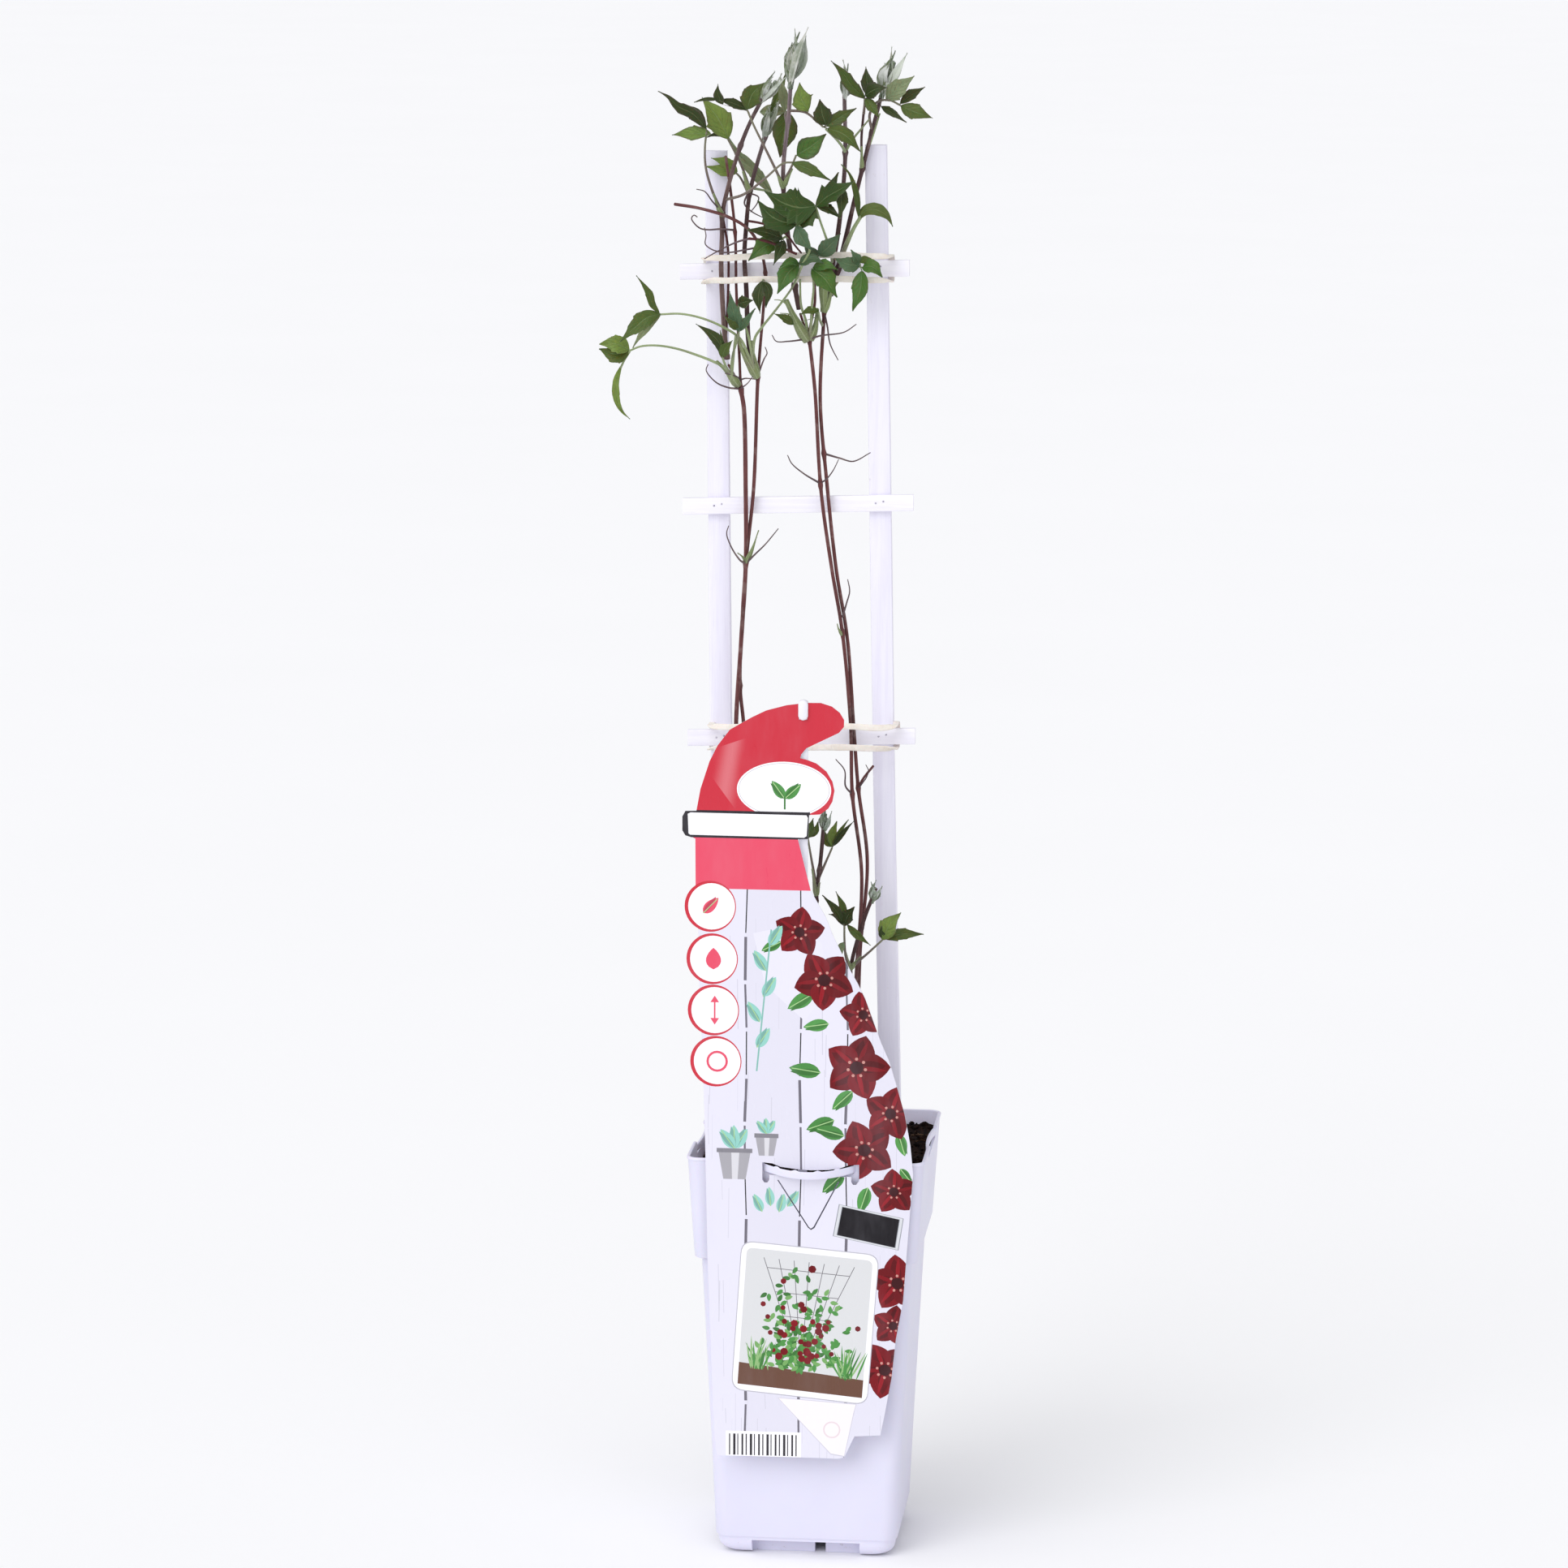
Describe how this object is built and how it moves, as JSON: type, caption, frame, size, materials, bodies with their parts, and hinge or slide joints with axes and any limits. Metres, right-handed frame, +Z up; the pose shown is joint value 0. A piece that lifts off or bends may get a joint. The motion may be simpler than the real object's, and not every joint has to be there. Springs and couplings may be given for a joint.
{
  "type": "potted climbing plant on a trellis",
  "caption": "Young clematis twining up a small ladder trellis in a square white nursery pot, with soil, rubber bands and a printed hang card.",
  "frame": {"origin": "floor point under the middle of the whole object's bounding box; the square pot's own centre stands at x = +25.7 mm, y = +4.25 mm", "axes": "+Z up along the trellis, -Y is the front with the hang card, +X to the right seen from the front"},
  "size_m": [0.1713, 0.1284, 0.7704],
  "materials": {
    "pot": "satin white moulded plastic",
    "soil": "dark fibrous peat",
    "trellis": "white painted wood strip",
    "band": "cream rubber",
    "card": "glossy printed card",
    "stake": "white plastic",
    "stem": "ribbed red-brown bark",
    "shoot": "brown to silvery purple young bark",
    "dry_stem": "dark red-brown dry bark",
    "tip": "silky silvery down",
    "leaf": "soft green leaf with pale green stalk"
  },
  "bodies": {
    "root": {"pot": "pot", "soil": "soil", "trellis_upright_left": "trellis", "trellis_upright_right": "trellis", "trellis_rung_top": "trellis", "trellis_rung_middle": "trellis", "trellis_rung_bottom": "trellis", "rubber_band_top": "band", "rubber_band_bottom": "band", "label_card": "card", "label_stake": "stake", "stem_left_1": "stem", "stem_left_2": "stem", "stem_right_1": "stem", "stem_right_2": "stem", "shoot_left_outer": "shoot", "shoot_left_inner": "shoot", "shoot_centre": "shoot", "shoot_right_inner": "shoot", "shoot_right_outer": "shoot", "shoot_low_left": "shoot", "shoot_low_right": "shoot", "dry_stem_upper": "dry_stem", "tip_left_outer": "tip", "tip_left_inner": "tip", "tip_centre": "tip", "tip_right_inner": "tip", "tip_right_outer": "tip", "leaf_far_left_upper": "leaf", "leaf_far_left_lower": "leaf", "leaf_left_fold": "leaf", "leaf_left_side": "leaf", "leaf_left_mid": "leaf", "leaf_mid_arch": "leaf", "leaf_mid_hanging": "leaf", "leaf_right_under": "leaf", "leaf_node_small": "leaf", "leaf_centre_low": "leaf", "leaf_centre_high": "leaf", "leaf_centre_tip": "leaf", "leaf_centre_left": "leaf", "leaf_teal": "leaf", "leaf_hook": "leaf", "leaf_right_cluster": "leaf", "leaf_top_dark": "leaf", "leaf_top_long": "leaf", "leaf_top_bright": "leaf", "leaf_top_low": "leaf", "leaf_top_grey": "leaf", "leaf_top_tooth": "leaf", "leaf_top_small": "leaf", "leaf_top_centre": "leaf", "leaf_crown_left": "leaf", "leaf_crown_centre": "leaf", "leaf_crown_right": "leaf", "leaf_arch_right": "leaf", "leaf_low_left": "leaf", "leaf_low_middle": "leaf", "leaf_low_right": "leaf", "leaf_low_centre": "leaf"}
  },
  "joints": []
}
